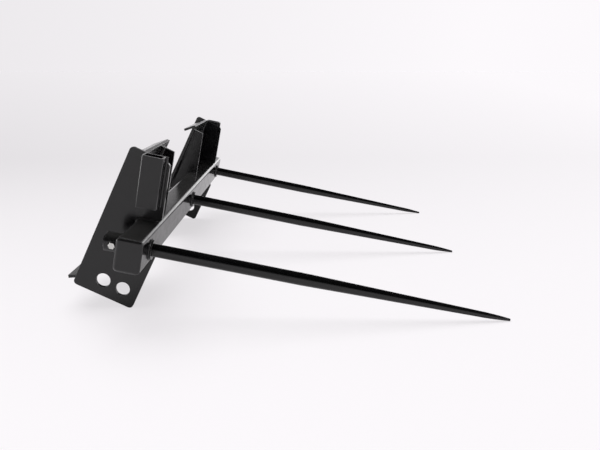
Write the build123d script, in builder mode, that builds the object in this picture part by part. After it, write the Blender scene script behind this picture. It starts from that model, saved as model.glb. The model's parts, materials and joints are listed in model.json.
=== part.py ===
# A bale spear for a loader's quick coupler: three tines through a box-section crossbar, welded to two
# coupler frames. It is modelled as it rests on a floor, on the tine tips and the lower front corners of
# its side plates.
#
# X runs along the crossbar to the operator's right, Y forward along the tines and Z up. The pieces are
# drawn in the weldment's own frame, which is square to the tines and leans forward by the resting tilt:
# its y and z are measured from the crossbar's front and top faces.
import os
from math import asin, atan2, cos, hypot, radians, sin, sqrt, tan

from build123d import *

os.makedirs("parts", exist_ok=True)

# Corner radius of the crossbar's section, which the side plates and gussets share
corner_radius = 12.7

# Crossbar, a rectangular tube with a plate set into each end
bar_overhang = 104.0
bar_depth = 76.2
bar_height = 101.6
bar_wall = 6.35
cap_thickness = 8.0
cap_recess = 4.0
rim_chamfer = 1.5

# Tines, plain round to the start of a long forged taper that ends in a slightly bulged point
tine_offset = 102.0
tine_drop = 55.5
tine_diameter = 40.0
tine_reach = 1112.0
tine_tail = 6.0
taper_start = 458.0
point_length = 80.0
point_diameter = 18.6
point_bulge = 0.6
nose_diameter = 8.0

# Sleeves that carry the tines through the crossbar
sleeve_diameter = 60.3
sleeve_front = 7.0
sleeve_back = 55.0

# Cross bolt and nut through each sleeve's tail
bolt_diameter = 12.7
bolt_setback = 25.0
hexagon_width = 19.05
head_height = 8.0
nut_height = 11.1
bolt_overrun = 3.0
flat_margin = 0.5
hexagon_chamfer = 1.0

# Coupler frames, in flat plate
plate_thickness = 10.0
frame_width = 1150.0
coupler_lean = 15.0
coupler_setback = 85.0
coupler_rise = 210.0

# Side plates
side_length = 493.0
side_overhang = 40.0
pin_hole_diameter = 46.0
pin_hole_spacing = 67.0
pin_hole_setback = 84.0
pin_hole_rise = 52.0

# Back plates with the hook lip above and the wedge lip below
back_width = 305.0
back_length = 443.0
hook_length = 48.0
hook_angle = 45.0
wedge_length = 75.0
wedge_angle = 60.0
wedge_slot_length = 70.0
wedge_slot_width = 25.0
wedge_slot_setback = 40.0

# Gussets between the crossbar and the back plates
gusset_margin = 35.0
gusset_setback = 45.0
gusset_drop = 21.0
gusset_foot = 45.0

# Sockets on the side plates for the stakes of a back stop
socket_width = 48.0
socket_depth = 64.0
socket_length = 160.0
socket_wall = 5.0
socket_corner = 7.0
socket_rise = 48.0
socket_setback = 13.7

lean = radians(coupler_lean)
wedge = radians(wedge_angle)
hook = radians(hook_angle)
half_width = frame_width / 2
plate_face = half_width - plate_thickness
back_inset = plate_face - back_width
gusset_inset = back_inset + gusset_margin
tine_spacing = half_width + tine_offset
bar_length = 2 * (tine_spacing + bar_overhang)
sides = {"right": 1, "left": -1}
tine_stations = {"right": tine_spacing, "center": 0.0, "left": -tine_spacing}


def coupler_point(back, down):
    """Weldment y and z of a point so far behind the coupler face and so far down along it from its top."""
    return (
        -coupler_setback - back * cos(lean) - down * sin(lean),
        coupler_rise + back * sin(lean) - down * cos(lean),
    )


# The side plates' lower front edge runs beside the coupler face to the crossbar's lower front corner
side_front = -coupler_setback * cos(lean) - (bar_height + coupler_rise) * sin(lean)

# Resting tilt: the floor touches the side plates' rounded lower front corner and the tines' nose rims
foot_y, foot_z = coupler_point(side_front + corner_radius, side_length - corner_radius)
rim_y, rim_z = tine_reach, -tine_drop - nose_diameter / 2
foot_to_rim = hypot(rim_y - foot_y, rim_z - foot_z)
tilt = atan2(rim_z - foot_z, rim_y - foot_y) + asin(corner_radius / foot_to_rim)


def ahead(y, z):
    """How far forward along the floor a point of the weldment's side view lies."""
    return y * cos(tilt) + z * sin(tilt)


def wedge_point(along, depth):
    """Weldment y and z of a point so far along the wedge lip from its bend and so deep under its top."""
    return coupler_point(
        along * sin(wedge) - depth * cos(wedge),
        back_length + along * cos(wedge) + depth * sin(wedge),
    )


# The origin is on the floor, under the middle of the part's length from wedge lips to tine noses
rear_end = min(ahead(*wedge_point(wedge_length, depth)) for depth in (0, plate_thickness))
front_end = ahead(tine_reach, nose_diameter / 2 - tine_drop)
floor_level = foot_z * cos(tilt) - foot_y * sin(tilt) - corner_radius
weldment = Plane(
    origin=(0, -(front_end + rear_end) / 2, -floor_level),
    x_dir=(1, 0, 0),
    z_dir=(0, sin(tilt), cos(tilt)),
)


def side_view(x, y=0.0, z=0.0):
    """Plane that looks along X, with weldment y and z as its own axes."""
    return Plane(weldment.from_local_coords((x, y, z)), x_dir=weldment.y_dir, z_dir=weldment.x_dir)


def slab_view(side, inner, outer):
    """Side view from which a slab between two distances off the middle is extruded along X."""
    return side_view(inner if side > 0 else -outer)


def tine_view(x, y=0.0):
    """Plane across a tine's axis."""
    return Plane(weldment.from_local_coords((x, y, -tine_drop)), x_dir=weldment.x_dir, z_dir=weldment.y_dir)


def finish(piece, node):
    """Name a finished piece and write it."""
    piece.part.label = node
    export_step(piece.part, f"parts/{node}.step")


def bar_center():
    """Middle of the crossbar's section in the side view."""
    return Locations((-bar_depth / 2, -bar_height / 2))


def bar_hollow(mode):
    """Section of the space inside the crossbar's walls."""
    return RectangleRounded(
        bar_depth - 2 * bar_wall, bar_height - 2 * bar_wall, corner_radius - bar_wall, mode=mode
    )


# Crossbar, bored for the sleeves
with BuildPart() as crossbar:
    with BuildSketch(side_view(-bar_length / 2)):
        with bar_center():
            RectangleRounded(bar_depth, bar_height, corner_radius)
            bar_hollow(Mode.SUBTRACT)
    extrude(amount=bar_length)
    end_faces = crossbar.faces().filter_by(Axis.X)
    chamfer([edge for face in end_faces for edge in face.outer_wire().edges()], rim_chamfer)
    for station in tine_stations.values():
        with BuildSketch(tine_view(station)):
            Circle(sleeve_diameter / 2)
        extrude(amount=-bar_depth, mode=Mode.SUBTRACT)
finish(crossbar, "crossbar")

# End caps, set back inside the tube's rim
for name, side in sides.items():
    outer_face = bar_length / 2 - cap_recess
    with BuildPart() as end_cap:
        with BuildSketch(slab_view(side, outer_face - cap_thickness, outer_face)):
            with bar_center():
                bar_hollow(Mode.ADD)
        extrude(amount=cap_thickness)
    finish(end_cap, f"end_cap_{name}")

# Tines with their sleeves and cross bolts
taper_end = (tine_reach - point_length, point_diameter / 2)
nose_rim = (tine_reach, nose_diameter / 2)
sleeve_end = -bar_depth - sleeve_back
tine_end = sleeve_end - tine_tail
bolt_y = sleeve_end + bolt_setback
half_flat = hexagon_width / sqrt(3) + flat_margin
seat = sqrt((sleeve_diameter / 2) ** 2 - half_flat**2)
bolt_end = -(seat + nut_height + bolt_overrun)

for name, station in tine_stations.items():
    head_side = -1 if station < 0 else 1

    with BuildPart() as tine_sleeve:
        with BuildSketch(tine_view(station, sleeve_end)):
            Circle(sleeve_diameter / 2)
            Circle(tine_diameter / 2, mode=Mode.SUBTRACT)
        extrude(amount=sleeve_front - sleeve_end)
        for flat, outward in ((station + seat, 1), (station - seat, -1)):
            with BuildSketch(side_view(flat, bolt_y, -tine_drop)):
                Rectangle(2 * half_flat, sleeve_diameter)
            extrude(amount=outward * (sleeve_diameter / 2 - seat), mode=Mode.SUBTRACT)
        with BuildSketch(side_view(station, bolt_y, -tine_drop)):
            Circle(bolt_diameter / 2)
        extrude(amount=sleeve_diameter / 2, both=True, mode=Mode.SUBTRACT)
    finish(tine_sleeve, f"tine_sleeve_{name}")

    with BuildPart() as tine:
        with BuildSketch(side_view(station, 0, -tine_drop)):
            with BuildLine():
                point = SagittaArc(taper_end, nose_rim, point_bulge)
                Polyline(
                    point @ 1,
                    (tine_reach, 0),
                    (tine_end, 0),
                    (tine_end, tine_diameter / 2),
                    (taper_start, tine_diameter / 2),
                    point @ 0,
                )
            make_face()
        revolve(axis=Axis(weldment.from_local_coords((station, 0, -tine_drop)), weldment.y_dir))
        with BuildSketch(side_view(station, bolt_y, -tine_drop)):
            Circle(bolt_diameter / 2)
        extrude(amount=tine_diameter / 2, both=True, mode=Mode.SUBTRACT)
    finish(tine, f"tine_{name}")

    with BuildPart() as tine_bolt:
        with BuildSketch(side_view(station + head_side * seat, bolt_y, -tine_drop)):
            RegularPolygon(hexagon_width / 2, 6, major_radius=False)
        extrude(amount=head_side * head_height)
        head_face = tine_bolt.faces().filter_by(Axis.X).sort_by(Axis.X)[-1 if head_side > 0 else 0]
        chamfer(head_face.edges(), hexagon_chamfer)
        with BuildSketch(side_view(station + head_side * bolt_end, bolt_y, -tine_drop)):
            Circle(bolt_diameter / 2)
        extrude(amount=head_side * (seat - bolt_end))
    finish(tine_bolt, f"tine_bolt_{name}")

    with BuildPart() as tine_nut:
        with BuildSketch(side_view(station - head_side * seat, bolt_y, -tine_drop)):
            RegularPolygon(hexagon_width / 2, 6, major_radius=False)
            Circle(bolt_diameter / 2, mode=Mode.SUBTRACT)
        extrude(amount=-head_side * nut_height)
    finish(tine_nut, f"tine_nut_{name}")

# Coupler frames
side_top_z = coupler_rise - coupler_setback * tan(lean)
hole_row = side_length - pin_hole_rise
gusset_front = (gusset_setback - coupler_setback - gusset_drop * sin(lean)) / cos(lean)
bend_setback = plate_thickness * tan(wedge / 2)
socket_y = -socket_setback - socket_depth / 2


def hook_point(along, depth):
    """Weldment y and z of a point so far along the hook lip from the top edge and so deep under it."""
    return coupler_point(along * sin(hook) - depth * cos(hook), along * cos(hook) + depth * sin(hook))


wedge_inward_y, wedge_inward_z = (inner - outer for inner, outer in zip(wedge_point(0, 1), wedge_point(0, 0)))
wedge_inward = weldment.y_dir * wedge_inward_y + weldment.z_dir * wedge_inward_z

for name, side in sides.items():
    with BuildPart() as side_plate:
        with BuildSketch(slab_view(side, plate_face, half_width)) as side_outline:
            with BuildLine():
                Polyline(
                    coupler_point(side_overhang, 0),
                    coupler_point(side_overhang, side_length),
                    coupler_point(side_front, side_length),
                    (0, -bar_height),
                    (-bar_depth, -bar_height),
                    (-bar_depth, 0),
                    (0, 0),
                    (0, side_top_z),
                    close=True,
                )
            make_face()
            fillet(side_outline.vertices(), corner_radius)
            with Locations(
                coupler_point(side_overhang - pin_hole_setback, hole_row),
                coupler_point(side_overhang - pin_hole_setback - pin_hole_spacing, hole_row),
            ):
                Circle(pin_hole_diameter / 2, mode=Mode.SUBTRACT)
        extrude(amount=plate_thickness)
    finish(side_plate, f"side_plate_{name}")

    with BuildPart() as back_plate:
        with BuildSketch(slab_view(side, back_inset, plate_face)):
            with BuildLine():
                Polyline(
                    coupler_point(0, 0),
                    coupler_point(0, back_length),
                    coupler_point(-plate_thickness, back_length + bend_setback),
                    coupler_point(-plate_thickness, 0),
                    close=True,
                )
            make_face()
        extrude(amount=back_width)
    finish(back_plate, f"back_plate_{name}")

    with BuildPart() as hook_lip:
        with BuildSketch(slab_view(side, back_inset, plate_face)):
            with BuildLine():
                Polyline(
                    coupler_point(0, 0),
                    hook_point(hook_length, 0),
                    hook_point(hook_length, plate_thickness),
                    coupler_point(0, plate_thickness / sin(hook)),
                    close=True,
                )
            make_face()
        extrude(amount=back_width)
    finish(hook_lip, f"hook_lip_{name}")

    with BuildPart() as wedge_lip:
        with BuildSketch(slab_view(side, back_inset, plate_face)):
            with BuildLine():
                Polyline(
                    wedge_point(0, 0),
                    wedge_point(wedge_length, 0),
                    wedge_point(wedge_length, plate_thickness),
                    wedge_point(-bend_setback, plate_thickness),
                    close=True,
                )
            make_face()
        extrude(amount=back_width)
        slot_middle = (side * (back_inset + back_width / 2), *wedge_point(wedge_slot_setback, 0))
        with BuildSketch(
            Plane(weldment.from_local_coords(slot_middle), x_dir=weldment.x_dir, z_dir=wedge_inward)
        ):
            SlotOverall(wedge_slot_length, wedge_slot_width)
        extrude(amount=plate_thickness, mode=Mode.SUBTRACT)
    finish(wedge_lip, f"wedge_lip_{name}")

    with BuildPart() as gusset:
        with BuildSketch(slab_view(side, gusset_inset, gusset_inset + plate_thickness)):
            with BuildLine():
                Polyline(
                    coupler_point(-plate_thickness, gusset_drop),
                    coupler_point(gusset_front, gusset_drop),
                    (-gusset_setback, -bar_height / 2),
                    (-bar_depth, corner_radius - bar_height),
                    coupler_point(-plate_thickness - gusset_foot, back_length + bend_setback),
                    coupler_point(-plate_thickness, back_length + bend_setback),
                    close=True,
                )
            make_face()
            with bar_center():
                RectangleRounded(bar_depth, bar_height, corner_radius, mode=Mode.SUBTRACT)
        extrude(amount=plate_thickness)
    finish(gusset, f"gusset_{name}")

    with BuildPart() as stake_socket:
        socket_foot = (side * (half_width + socket_width / 2), socket_y, socket_rise)
        with BuildSketch(
            Plane(weldment.from_local_coords(socket_foot), x_dir=weldment.x_dir, z_dir=weldment.z_dir)
        ):
            RectangleRounded(socket_width, socket_depth, socket_corner)
            Rectangle(socket_width - 2 * socket_wall, socket_depth - 2 * socket_wall, mode=Mode.SUBTRACT)
        extrude(amount=socket_length)
    finish(stake_socket, f"stake_socket_{name}")
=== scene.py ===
# A bale spear in black paint, resting on the floor of a white studio.
import json
import math

import bmesh
import bpy
from mathutils import Euler, Matrix, Vector


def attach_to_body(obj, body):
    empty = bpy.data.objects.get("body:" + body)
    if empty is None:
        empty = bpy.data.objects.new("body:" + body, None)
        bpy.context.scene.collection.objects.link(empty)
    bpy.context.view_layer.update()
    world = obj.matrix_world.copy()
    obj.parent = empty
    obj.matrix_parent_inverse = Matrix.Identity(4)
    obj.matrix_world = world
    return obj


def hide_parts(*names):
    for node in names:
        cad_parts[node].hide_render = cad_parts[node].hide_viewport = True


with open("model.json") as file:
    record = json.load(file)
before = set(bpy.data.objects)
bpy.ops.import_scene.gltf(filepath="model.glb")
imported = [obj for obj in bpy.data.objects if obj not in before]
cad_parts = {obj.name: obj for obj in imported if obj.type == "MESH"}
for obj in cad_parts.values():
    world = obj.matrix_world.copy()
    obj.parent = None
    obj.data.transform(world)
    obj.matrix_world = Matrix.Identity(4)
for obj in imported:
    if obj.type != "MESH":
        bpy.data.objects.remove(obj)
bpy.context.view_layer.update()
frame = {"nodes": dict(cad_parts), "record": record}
scene = bpy.context.scene
scene.view_settings.view_transform = "Standard"

# Camera, at the photograph's viewing angle: place in metres, turns in degrees, lens in millimetres
CAMERA_PLACE = (2.2553, 0.0477, 0.7410)
CAMERA_PITCH = 15.38
CAMERA_YAW = 0.07
CAMERA_LENS = 33.50

# Colours, linear
FRAME_BLACK = (0.0035, 0.0035, 0.0040)
TINE_BLACK = (0.0010, 0.0010, 0.0014)
# A lighter grey painted along the edges as a highlight
EDGE_HIGHLIGHT_GREY = (0.22, 0.22, 0.225)
DUST_GREY = (0.040, 0.039, 0.038)
ZINC_GREY = (0.58, 0.58, 0.56)
ZINC_STAIN = (0.42, 0.42, 0.40)
STUDIO_WHITE = (0.975, 0.950, 0.975)
# Grey painted as shade where the backdrop bends up from the floor
BACKDROP_SHADE_GREY = (0.74, 0.72, 0.74)
CEILING_BLACK = (0.008, 0.008, 0.008)
FILL_WHITE = (0.95, 0.95, 0.95)

# Noise patterns, each as its scale per metre and its detail
DUST_PATCHES = (9, 8)
# Patches of the painted edge highlight
EDGE_HIGHLIGHT_PATCHES = (25, 6)
GLOSS_PATCHES = (40, 5)
PAINT_PEEL = (260, 3)
STAIN_PATCHES = (120, 6)
ZINC_PATCHES = (300, 4)
ZINC_GRAIN = (900, 3)

# Spans of the noise patterns' values that are stretched to a range of looks
NOISE_SPAN = (0.3, 0.7)
# Span of the painted edge highlight's pattern
EDGE_HIGHLIGHT_SPAN = (0.35, 0.60)
STAIN_SPAN = (0.35, 0.75)

# A share from none to all
WHOLE_RANGE = (0.0, 1.0)

# Paint: radius of its softened edges and depth of its peel in metres, gloss, and the most dust on it
PAINT_IOR = 1.46
PAINT_EDGE = 0.0018
PEEL_DEPTH = 0.00006
FRAME_ROUGHNESS = (0.14, 0.24)
TINE_ROUGHNESS = (0.16, 0.24)
FRAME_DUST = 0.7
TINE_DUST = 0.1

# Dust: how far a face looks up where it starts to settle and is full, its shares there and in thin patches
DUST_SLOPE = (0.3, 0.9)
DUST_SETTLED = (0.1, 1.0)
DUST_THINNED = 0.5

# Painted edge highlight: the cosines of an edge's turn where it starts and is full, and its shares in the
# noise pattern
EDGE_HIGHLIGHT_TURN = (0.985, 0.90)
EDGE_HIGHLIGHT_SHARES = (0.25, 1.0)

# Zinc plate: radius of its softened edges and depth of its grain in metres, gloss and stains
ZINC_EDGE = 0.0006
GRAIN_DEPTH = 0.00004
ZINC_ROUGHNESS = (0.28, 0.42)
STAIN_SHARES = (0.0, 0.4)

# Weld beads: legs, root and lengths in metres, crown and ripple depth as shares, steps across and round
PLATE_LEG = 0.006
SLEEVE_LEG = 0.003
BEAD_STEP = 0.002
BEAD_ROOT = 0.001
BEAD_CROWN = 0.75
RIPPLE_LENGTH = 0.006
RIPPLE_DEPTH = 0.18
FACE_STEPS = 4
SLEEVE_STEPS = 96

# Crossbar's outline: its corner radius in metres, steps round a corner, and sides numbered over the top
BAR_CORNER = 0.0127
CORNER_STEPS = 8
FRONT, TOP, REAR, BOTTOM, FRONT_AGAIN = range(5)

# End plates, in metres: their depth, and the rolled edge that rises from inside the crossbar's rim
PLATE_DEPTH = 0.008
ROLL_INSET = 0.0005
ROLL_SINK = 0.0014
ROLL_WIDTH = 0.0100
ROLL_RISE = 0.0058
ROLL_STEPS = 6

# Studio floor, in metres, with the shares of its own glow in direct view and in reflections
FLOOR_SIZE = 4000
FLOOR_GLOW = 0.72
MIRROR_GLOW = 0.25

# Bend from the floor to the backdrop, where its painted shade rises, in metres: its start, its middle and the
# span of the rise beyond
BEND_NEAR = 1.6
BEND_MIDDLE = -2.8
BEND_SPAN = 6.0

# Backdrop's painted shade: where the floor's directions start, in metres, and the share that the wall's
# height takes
GREY_FROM = (3.0, 0.0, 0.0)
WALL_LIFT = 0.32

# Backdrop's painted shade by the parts of a direction: fading in beyond the object, changing from left to
# right
GREY_DEPTH = (0.0, -0.4)
GREY_SIDES = (-0.45, 0.45)
GREY_SHARES = (0.86, 0.20)

# Ceiling and fill: the upward parts of a direction between which reflections darken, and the fill's strength
CEILING_RISE = (0.12, 0.50)
FILL_STRENGTH = 0.30

# Overhead lamp: in metres and watts per square metre, with its spread in degrees
OVERHEAD = {"place": (-1.0, -0.6, 3.0), "target": (0, 0, 0), "power": 2.4}
OVERHEAD_SPREAD = 55

# Soft boxes, in metres and watts
SOFT_BOXES = {
    "front_box": {"place": (0.6, 3.0, 1.3), "target": (0, -0.3, 0.3), "size": (1.2, 1.6), "power": 20},
    "back_box": {"place": (-0.3, -3.2, 0.7), "target": (0, -0.4, 0.3), "size": (1.6, 1.0), "power": 20},
    "far_box": {"place": (-4.2, 0.8, 0.8), "target": (0, -0.3, 0.3), "size": (1.7, 1.5), "power": 14},
}

# Names in the frame, and the sign of x on either side
TINE_PLACES = ("right", "center", "left")
TINE_NODES = tuple(f"tine_{place}" for place in TINE_PLACES)
ZINC_NODES = ("tine_bolt", "tine_nut")
SIDES = {"right": 1, "left": -1}


# Shader building blocks

def add(tree, kind, **inputs):
    """A new shader node with some of its inputs set."""
    node = tree.nodes.new(kind)
    for name, value in inputs.items():
        node.inputs[name].default_value = value
    return node


def attach(tree, value, socket):
    """A constant or another node's output put into a socket."""
    if isinstance(value, bpy.types.NodeSocket):
        tree.links.new(value, socket)
    else:
        socket.default_value = value


def noise(tree, scale, detail):
    """Noise over the object's own coordinates."""
    place = tree.nodes.new("ShaderNodeTexCoord")
    texture = add(tree, "ShaderNodeTexNoise", Scale=scale, Detail=detail)
    tree.links.new(place.outputs["Object"], texture.inputs["Vector"])
    return texture.outputs["Fac"]


def remap(tree, value, span, to_span, smooth=False):
    """A span of a value, stretched to another span and clamped there."""
    node = tree.nodes.new("ShaderNodeMapRange")
    node.interpolation_type = "SMOOTHSTEP" if smooth else "LINEAR"
    for socket, number in zip(("From Min", "From Max", "To Min", "To Max"), (*span, *to_span)):
        node.inputs[socket].default_value = number
    tree.links.new(value, node.inputs["Value"])
    return node.outputs["Result"]


def combined(tree, operation, first, second):
    """Two values combined by one operation."""
    node = tree.nodes.new("ShaderNodeMath")
    node.operation = operation
    attach(tree, first, node.inputs[0])
    attach(tree, second, node.inputs[1])
    return node.outputs["Value"]


def mixed(tree, share, first, second):
    """Two colours mixed by a share."""
    node = tree.nodes.new("ShaderNodeMix")
    node.data_type = "RGBA"
    for socket, colour in zip((node.inputs["A"], node.inputs["B"]), (first, second)):
        attach(tree, colour if isinstance(colour, bpy.types.NodeSocket) else (*colour, 1), socket)
    tree.links.new(share, node.inputs["Factor"])
    return node.outputs["Result"]


def part_of(tree, vector, axis):
    """One part of a vector."""
    split = tree.nodes.new("ShaderNodeSeparateXYZ")
    tree.links.new(vector, split.inputs["Vector"])
    return split.outputs[axis]


def vector_math(tree, operation, *vectors):
    """The outputs of an operation on one or two vectors."""
    node = tree.nodes.new("ShaderNodeVectorMath")
    node.operation = operation
    for vector, socket in zip(vectors, node.inputs):
        attach(tree, vector, socket)
    return node.outputs


# Paint and plating

def surface(name, metallic):
    """A new material with its node tree and main shader."""
    material = bpy.data.materials.new(name)
    material.use_nodes = True
    shader = material.node_tree.nodes["Principled BSDF"]
    shader.inputs["Metallic"].default_value = metallic
    return material, material.node_tree, shader


def uneven(tree, shader, edges, pattern, depth):
    """Fine bumps laid over softened edges."""
    bump = add(tree, "ShaderNodeBump", Strength=1.0, Distance=depth)
    tree.links.new(noise(tree, *pattern), bump.inputs["Height"])
    tree.links.new(edges, bump.inputs["Normal"])
    tree.links.new(bump.outputs["Normal"], shader.inputs["Normal"])


def dust_share(tree, facing, most_dust):
    """How dusty a face is: more the flatter it lies, in patches."""
    settled = remap(tree, part_of(tree, facing, "Z"), DUST_SLOPE, DUST_SETTLED)
    patchy = remap(tree, noise(tree, *DUST_PATCHES), NOISE_SPAN, (DUST_THINNED * most_dust, most_dust))
    return combined(tree, "MULTIPLY", settled, patchy)


def edge_highlight_share(tree, facing, edges):
    """Where a highlight is painted: only where the softened edges turn away from the face, in patches."""
    edge = remap(tree, vector_math(tree, "DOT_PRODUCT", facing, edges)["Value"], EDGE_HIGHLIGHT_TURN, WHOLE_RANGE)
    patchy = remap(tree, noise(tree, *EDGE_HIGHLIGHT_PATCHES), EDGE_HIGHLIGHT_SPAN, EDGE_HIGHLIGHT_SHARES)
    return combined(tree, "MULTIPLY", edge, patchy)


def black_paint(name, colour, roughness, most_dust):
    """Semi-gloss paint with a highlight painted along its edges, dusty on top, with uneven gloss and a slight
    orange peel.
    """
    material, tree, shader = surface(name, metallic=0.0)
    shader.inputs["IOR"].default_value = PAINT_IOR
    facing = tree.nodes.new("ShaderNodeNewGeometry").outputs["Normal"]
    edges = add(tree, "ShaderNodeBevel", Radius=PAINT_EDGE).outputs["Normal"]
    dusty = mixed(tree, dust_share(tree, facing, most_dust), colour, DUST_GREY)
    # Painted highlight: a lighter grey mixed in along the edges
    highlighted = mixed(tree, edge_highlight_share(tree, facing, edges), dusty, EDGE_HIGHLIGHT_GREY)
    tree.links.new(highlighted, shader.inputs["Base Color"])
    gloss = remap(tree, noise(tree, *GLOSS_PATCHES), NOISE_SPAN, roughness)
    tree.links.new(gloss, shader.inputs["Roughness"])
    uneven(tree, shader, edges, PAINT_PEEL, PEEL_DEPTH)
    return material


def zinc_plate():
    """Bright zinc plate with a slightly mottled finish."""
    material, tree, shader = surface("zinc_plate", metallic=1.0)
    stain = remap(tree, noise(tree, *STAIN_PATCHES), STAIN_SPAN, STAIN_SHARES)
    tree.links.new(mixed(tree, stain, ZINC_GREY, ZINC_STAIN), shader.inputs["Base Color"])
    gloss = remap(tree, noise(tree, *ZINC_PATCHES), NOISE_SPAN, ZINC_ROUGHNESS)
    tree.links.new(gloss, shader.inputs["Roughness"])
    edges = add(tree, "ShaderNodeBevel", Radius=ZINC_EDGE).outputs["Normal"]
    uneven(tree, shader, edges, ZINC_GRAIN, GRAIN_DEPTH)
    return material


frame_paint = black_paint("frame_paint", FRAME_BLACK, FRAME_ROUGHNESS, FRAME_DUST)
tine_paint = black_paint("tine_paint", TINE_BLACK, TINE_ROUGHNESS, TINE_DUST)
zinc = zinc_plate()
for name, piece in frame["nodes"].items():
    piece.data.materials.clear()
    if name.startswith(ZINC_NODES):
        piece.data.materials.append(zinc)
    elif name in TINE_NODES:
        piece.data.materials.append(tine_paint)
    else:
        piece.data.materials.append(frame_paint)


# Weldment frame: x along the crossbar, y forward along the tines, z square to both like the stake sockets

ACROSS, FORWARD, UPWARD = (Vector(row) for row in Matrix.Identity(3))


def weldment_turn():
    """The turn from the weldment frame to the world, found from a stake socket's axis."""
    mounts = {mount["name"]: mount for mount in frame["record"]["mounts"]}
    socket_axis = Vector(mounts["stake_socket_right"]["axis"])
    return Matrix((ACROSS, socket_axis.cross(ACROSS), socket_axis)).transposed()


TO_WORLD = weldment_turn()


def weldment_points(node):
    """A node's vertices in the weldment frame."""
    to_weldment = TO_WORLD.transposed()
    return [to_weldment @ vertex.co for vertex in frame["nodes"][node].data.vertices]


def weldment_box(node):
    """Lowest and highest corner of a node in the weldment frame."""
    points = weldment_points(node)
    return Vector(map(min, zip(*points))), Vector(map(max, zip(*points)))


BAR_LOW, BAR_HIGH = weldment_box("crossbar")


def add_piece(name, vertices, faces):
    """A painted piece of the frame, drawn in the weldment frame."""
    mesh = bpy.data.meshes.new(name)
    mesh.from_pydata([TO_WORLD @ vertex for vertex in vertices], [], faces)
    shape = bmesh.new()
    shape.from_mesh(mesh)
    bmesh.ops.recalc_face_normals(shape, faces=shape.faces)
    shape.to_mesh(mesh)
    shape.free()
    mesh.polygons.foreach_set("use_smooth", [True] * len(mesh.polygons))
    mesh.materials.append(frame_paint)
    piece = bpy.data.objects.new(name, mesh)
    scene.collection.objects.link(piece)
    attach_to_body(piece, "root")
    return piece


def ring_faces(rings, size, closed):
    """Faces of a skin over rings of points, with both ends filled unless the rings close on each other."""
    faces = []
    for ring in range(rings if closed else rings - 1):
        start, following = ring * size, (ring + 1) % rings * size
        for point in range(size):
            beside = (point + 1) % size
            faces.append((start + point, start + beside, following + beside, following + point))
    if not closed:
        faces.append(tuple(range(size))[::-1])
        faces.append(tuple(range((rings - 1) * size, rings * size)))
    return faces


def bar_outline(x, inset, start=FRONT, end=FRONT_AGAIN):
    """Points and outward directions along the crossbar's outline, from one of its sides to another."""
    middle = (BAR_LOW + BAR_HIGH) / 2
    half = (BAR_HIGH - BAR_LOW) / 2
    outline = []
    for side in range(start, end):
        toward_y = 1 if side in (FRONT, BOTTOM) else -1
        toward_z = 1 if side in (FRONT, TOP) else -1
        center = middle + Vector((0, toward_y * (half.y - BAR_CORNER), toward_z * (half.z - BAR_CORNER)))
        for step in range(CORNER_STEPS + 1):
            angle = (side + step / CORNER_STEPS) * math.pi / 2
            outward = Vector((0, math.cos(angle), math.sin(angle)))
            point = center + outward * (BAR_CORNER - inset)
            point.x = x
            outline.append((point, outward))
    return outline


# Weld beads, each along a path of corner points with the outward directions of the two faces that meet

def evenly(path):
    """Stations spread evenly along a path."""
    stations = []
    for start, end in zip(path, path[1:]):
        count = max(1, round((end[0] - start[0]).length / BEAD_STEP))
        for index in range(count):
            stations.append(tuple(here.lerp(there, index / count) for here, there in zip(start, end)))
    return [*stations, path[-1]]


def bead_section(station, leg, ripple):
    """Points round a bead at one station: its root in the corner, then its full face from toe to toe."""
    corner, first, second = station
    toes = corner + first * leg, corner + second * leg
    crown = corner + (first + second) * leg * BEAD_CROWN * ripple
    points = [corner - (first + second) * BEAD_ROOT]
    for step in range(FACE_STEPS + 1):
        share = step / FACE_STEPS
        points.append(toes[0] * (1 - share) ** 2 + crown * 2 * share * (1 - share) + toes[1] * share**2)
    return points


def add_beads(name, paths, leg):
    """Rippled weld beads along some paths."""
    vertices = []
    faces = []
    for path in paths:
        stations = evenly(path)
        closed = (path[0][0] - path[-1][0]).length < BEAD_STEP / 2
        if closed:
            stations.pop()
        sections = []
        for index, station in enumerate(stations):
            ripple = 1 + RIPPLE_DEPTH * math.sin(math.tau * index * BEAD_STEP / RIPPLE_LENGTH)
            sections.append(bead_section(station, leg, ripple))
        skin = ring_faces(len(sections), len(sections[0]), closed)
        faces += [tuple(len(vertices) + point for point in face) for face in skin]
        vertices += [point for section in sections for point in section]
    add_piece(name, vertices, faces)


def over_bar(x, facing, front, around):
    """Path between a face across the crossbar and the bar's top, rear and perhaps bottom."""
    corners = bar_outline(x, inset=0, start=TOP, end=BOTTOM if around else REAR)
    outline = [(Vector((x, front, BAR_HIGH.z)), UPWARD), *corners]
    if around:
        outline.append((Vector((x, front, BAR_LOW.z)), -UPWARD))
    else:
        outline.append((Vector((x, BAR_LOW.y, BAR_LOW.z + BAR_CORNER)), -FORWARD))
    return [(point, facing, outward) for point, outward in outline]


def straight_seam(start, end, x, first, second):
    """Path straight between two points of the side view, at one place along the crossbar."""
    return [(Vector((x, point.y, point.z)), first, second) for point in (start, end)]


def plate_faces(node):
    """Place and direction of both faces of a plate that stands across the crossbar."""
    low, high = weldment_box(node)
    return (low.x, -ACROSS), (high.x, ACROSS)


def back_plate_front(name):
    """Top, foot and direction of a back plate's front face in the side view."""
    points = weldment_points(f"back_plate_{name}")
    top = max(points, key=lambda point: point.y)
    foot = min(points, key=lambda point: point.z)
    return top, foot, ACROSS.cross(foot - top).normalized()


def weld_side_plate(name):
    """A side plate, welded round the crossbar on both faces."""
    front = BAR_HIGH.y - BAR_CORNER
    seams = [over_bar(x, facing, front, around=True) for x, facing in plate_faces(f"side_plate_{name}")]
    add_beads(f"side_plate_weld_{name}", seams, PLATE_LEG)


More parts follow.
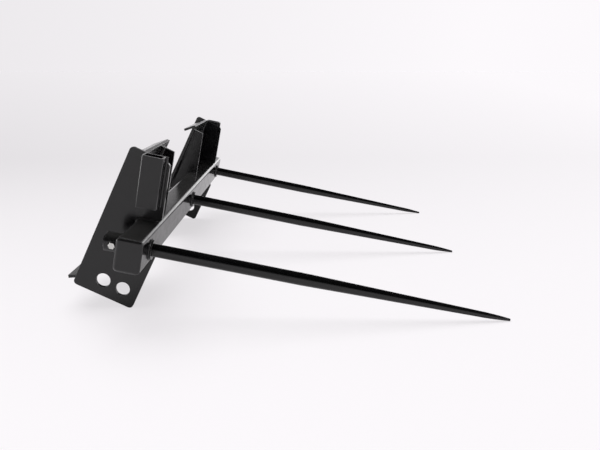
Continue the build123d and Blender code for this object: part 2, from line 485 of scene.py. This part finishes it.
def weld_gusset(name):
    """A gusset, welded over the crossbar and down the back plate on both faces."""
    _, gusset_high = weldment_box(f"gusset_{name}")
    top, foot, forward = back_plate_front(name)
    gusset_top = top.lerp(foot, (gusset_high.z - top.z) / (foot.z - top.z))
    seams = []
    for x, facing in plate_faces(f"gusset_{name}"):
        seams.append(over_bar(x, facing, gusset_high.y, around=False))
        seams.append(straight_seam(gusset_top, foot, x, facing, forward))
    add_beads(f"gusset_weld_{name}", seams, PLATE_LEG)


def weld_back_plate(name):
    """A back plate, welded to the side plate's inner face."""
    top, foot, forward = back_plate_front(name)
    x, facing = min(plate_faces(f"side_plate_{name}"), key=lambda face: abs(face[0]))
    add_beads(f"back_plate_weld_{name}", [straight_seam(top, foot, x, facing, forward)], PLATE_LEG)


def weld_stake_socket(name, side):
    """A stake socket, welded to the side plate along its front and rear corners."""
    low, high = weldment_box(f"stake_socket_{name}")
    seat = low.x if side > 0 else high.x
    seams = []
    for y, outward in ((low.y, -FORWARD), (high.y, FORWARD)):
        foot, top = (Vector((seat, y, z)) for z in (low.z, high.z))
        seams.append(straight_seam(foot, top, seat, ACROSS * side, outward))
    add_beads(f"stake_socket_weld_{name}", seams, PLATE_LEG)


def weld_tine_sleeve(name):
    """A tine's sleeve, welded to the crossbar's front and rear faces."""
    low, high = weldment_box(f"tine_sleeve_{name}")
    middle = (low + high) / 2
    radius = (high.x - low.x) / 2
    seams = []
    for y, outward in ((BAR_HIGH.y, FORWARD), (BAR_LOW.y, -FORWARD)):
        seam = []
        for step in range(SLEEVE_STEPS + 1):
            angle = math.tau * step / SLEEVE_STEPS
            radial = Vector((math.cos(angle), 0, math.sin(angle)))
            seam.append((Vector((middle.x, y, middle.z)) + radial * radius, outward, radial))
        seams.append(seam)
    add_beads(f"tine_sleeve_weld_{name}", seams, SLEEVE_LEG)


for name, side in SIDES.items():
    weld_side_plate(name)
    weld_gusset(name)
    weld_back_plate(name)
    weld_stake_socket(name, side)
for name in TINE_PLACES:
    weld_tine_sleeve(name)


# End plates, welded into the crossbar's ends and dressed to a rolled edge

def add_end_plate(name, side):
    """An end plate, from its inner face out to the rim and over the rolled edge to its outer face."""
    end = BAR_HIGH.x if side > 0 else BAR_LOW.x
    rings = [bar_outline(end - side * PLATE_DEPTH, ROLL_INSET + ROLL_WIDTH)]
    for step in range(ROLL_STEPS + 1):
        share = step / ROLL_STEPS
        out = ROLL_RISE * (1 - (1 - share) ** 2) - ROLL_SINK
        rings.append(bar_outline(end + side * out, ROLL_INSET + ROLL_WIDTH * share))
    vertices = [point for ring in rings for point, outward in ring]
    plate = add_piece(f"end_plate_{name}", vertices, ring_faces(len(rings), len(rings[0]), closed=False))
    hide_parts(f"end_cap_{name}")


for name, side in SIDES.items():
    add_end_plate(name, side)


# Studio

def backdrop_shade_share(tree, direction, lift):
    """How deep the backdrop's painted shade is in a direction: more to the left, less by a lift, none on the
    near side.
    """
    beyond = remap(tree, part_of(tree, direction, "X"), GREY_DEPTH, WHOLE_RANGE)
    aside = remap(tree, part_of(tree, direction, "Y"), GREY_SIDES, GREY_SHARES)
    grey = combined(tree, "MAXIMUM", combined(tree, "SUBTRACT", aside, lift), 0.0)
    return combined(tree, "MULTIPLY", beyond, grey)


def shown_rays(tree, direct, mirrored):
    """Shares for the rays that show the studio: one to the camera, one in a reflection or through glass."""
    rays = tree.nodes.new("ShaderNodeLightPath")
    turned = combined(tree, "MAXIMUM", rays.outputs["Is Glossy Ray"], rays.outputs["Is Transmission Ray"])
    to_camera = combined(tree, "MULTIPLY", rays.outputs["Is Camera Ray"], direct)
    return combined(tree, "MAXIMUM", to_camera, combined(tree, "MULTIPLY", turned, mirrored))


def show_by_rays(tree, rays, lit, shown, output):
    """A shader that lights or is lit, and by a share of rays the one that is shown in its place."""
    mix = tree.nodes.new("ShaderNodeMixShader")
    tree.links.new(rays, mix.inputs["Fac"])
    tree.links.new(lit, mix.inputs[1])
    tree.links.new(shown, mix.inputs[2])
    tree.links.new(mix.outputs["Shader"], tree.nodes[output].inputs["Surface"])


def floor_colour(tree):
    """White, with painted shade that greys it a little where the backdrop bends up, and less again up the
    wall.
    """
    position = tree.nodes.new("ShaderNodeNewGeometry").outputs["Position"]
    offset = vector_math(tree, "SUBTRACT", position, GREY_FROM)["Vector"]
    direction = vector_math(tree, "NORMALIZE", offset)["Vector"]
    distance = part_of(tree, position, "X")
    rise = remap(tree, distance, (BEND_NEAR, BEND_MIDDLE), WHOLE_RANGE, smooth=True)
    beyond = combined(tree, "MAXIMUM", combined(tree, "SUBTRACT", BEND_MIDDLE, distance), 0.0)
    risen = combined(tree, "DIVIDE", beyond, combined(tree, "ADD", beyond, BEND_SPAN))
    share = backdrop_shade_share(tree, direction, combined(tree, "MULTIPLY", risen, WALL_LIFT))
    return mixed(tree, combined(tree, "MULTIPLY", rise, share), STUDIO_WHITE, BACKDROP_SHADE_GREY)


def add_floor():
    """A wide floor that takes shadows, with a glow of its own that keeps it white."""
    bpy.ops.mesh.primitive_plane_add(size=FLOOR_SIZE)
    plane = bpy.context.object
    plane.name = "floor"
    material = bpy.data.materials.new("floor")
    material.use_nodes = True
    tree = material.node_tree
    tree.nodes.remove(tree.nodes["Principled BSDF"])
    colour = floor_colour(tree)
    matt = tree.nodes.new("ShaderNodeBsdfDiffuse")
    glow = tree.nodes.new("ShaderNodeEmission")
    tree.links.new(colour, matt.inputs["Color"])
    tree.links.new(colour, glow.inputs["Color"])
    rays = shown_rays(tree, FLOOR_GLOW, MIRROR_GLOW)
    show_by_rays(tree, rays, matt.outputs["BSDF"], glow.outputs["Emission"], "Material Output")
    plane.data.materials.append(material)


def add_world():
    """A white backdrop with painted shade where it bends, that shows a dark ceiling in reflections, and a
    plain fill for the surfaces.
    """
    world = bpy.data.worlds.new("studio")
    scene.world = world
    world.use_nodes = True
    tree = world.node_tree
    fill = tree.nodes["Background"]
    fill.inputs["Color"].default_value = (*FILL_WHITE, 1)
    fill.inputs["Strength"].default_value = FILL_STRENGTH
    direction = tree.nodes.new("ShaderNodeTexCoord").outputs["Generated"]
    # Painted shade on the backdrop's wall
    wall = mixed(tree, backdrop_shade_share(tree, direction, WALL_LIFT), STUDIO_WHITE, BACKDROP_SHADE_GREY)
    height = remap(tree, part_of(tree, direction, "Z"), CEILING_RISE, WHOLE_RANGE, smooth=True)
    mirrored = mixed(tree, height, wall, CEILING_BLACK)
    to_camera = tree.nodes.new("ShaderNodeLightPath").outputs["Is Camera Ray"]
    backdrop = tree.nodes.new("ShaderNodeBackground")
    tree.links.new(mixed(tree, to_camera, mirrored, wall), backdrop.inputs["Color"])
    rays = shown_rays(tree, direct=1.0, mirrored=1.0)
    show_by_rays(tree, rays, fill.outputs["Background"], backdrop.outputs["Background"], "World Output")


def add_lamp(name, kind, place, target, power):
    """A lamp aimed at a point and hidden from the camera."""
    light = bpy.data.lights.new(name, kind)
    light.energy = power
    holder = bpy.data.objects.new(name, light)
    holder.location = place
    holder.rotation_euler = (Vector(target) - Vector(place)).to_track_quat("-Z", "Y").to_euler()
    holder.visible_camera = False
    scene.collection.objects.link(holder)
    return holder


def add_overhead():
    """A broad lamp from above that doesn't show in reflections."""
    holder = add_lamp("overhead", "SUN", **OVERHEAD)
    holder.data.angle = math.radians(OVERHEAD_SPREAD)
    holder.visible_glossy = False


def add_soft_box(name, place, target, size, power):
    """A rectangular lamp that shows only in reflections."""
    holder = add_lamp(name, "AREA", place, target, power)
    holder.data.shape = "RECTANGLE"
    holder.data.size, holder.data.size_y = size
    holder.visible_diffuse = False


def add_camera():
    """The camera of the main view."""
    camera_data = bpy.data.cameras.new("camera")
    camera_data.lens = CAMERA_LENS
    camera = bpy.data.objects.new("camera", camera_data)
    camera.location = CAMERA_PLACE
    camera.rotation_euler = Euler((math.radians(90 - CAMERA_PITCH), 0, math.radians(90 - CAMERA_YAW)))
    scene.collection.objects.link(camera)
    scene.camera = camera


add_floor()
add_world()
add_overhead()
for name, box in SOFT_BOXES.items():
    add_soft_box(name, **box)
add_camera()
